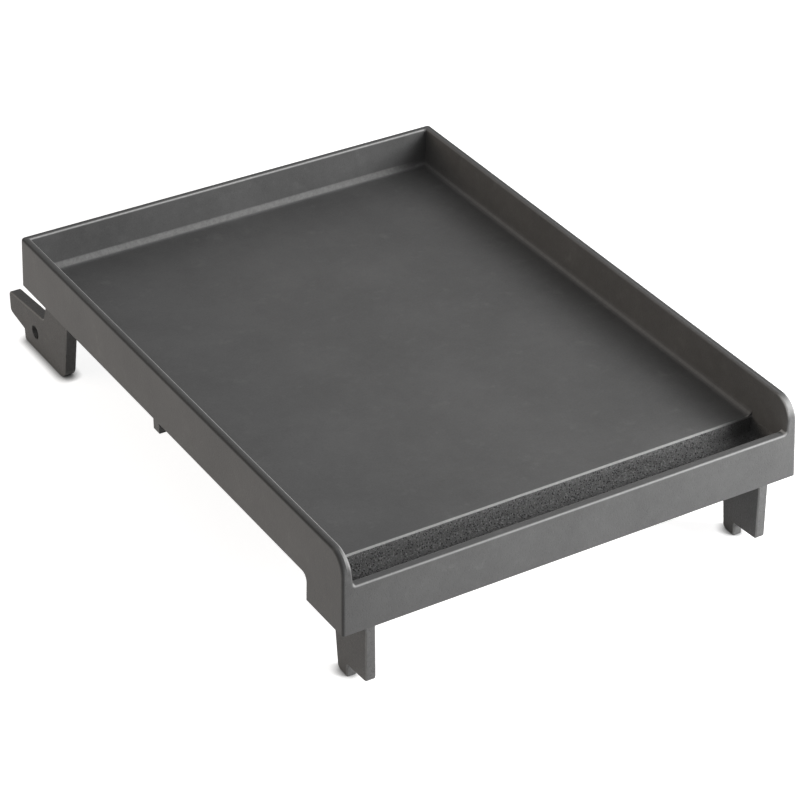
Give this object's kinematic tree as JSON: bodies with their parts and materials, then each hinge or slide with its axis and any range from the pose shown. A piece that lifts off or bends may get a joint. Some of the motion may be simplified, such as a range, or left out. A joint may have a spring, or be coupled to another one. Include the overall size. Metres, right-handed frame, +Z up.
{
  "type": "griddle plate",
  "caption": "Cast griddle plate: rimmed tray with a grease trough behind a low front lip, on plate legs that are hooked at the rear and stepped at the front.",
  "frame": {"origin": "on the ground plane under the feet, at the middle of the overall box", "axes": "+X to the right seen from the front, +Y towards the hooked rear legs, +Z up"},
  "size_m": [0.2932, 0.4484, 0.0935],
  "materials": {
    "cast_plate": "dark grey matte cast surface, edges rubbed bright",
    "cast_legs": "dark grey matte cast surface",
    "steel_screws": "dull zinc"
  },
  "bodies": {
    "root": {"griddle_plate": "cast_plate", "front_left_leg": "cast_legs", "front_right_leg": "cast_legs", "rear_left_leg": "cast_legs", "rear_right_leg": "cast_legs", "front_leg_screws": "steel_screws", "rear_leg_screws": "steel_screws"}
  },
  "joints": []
}
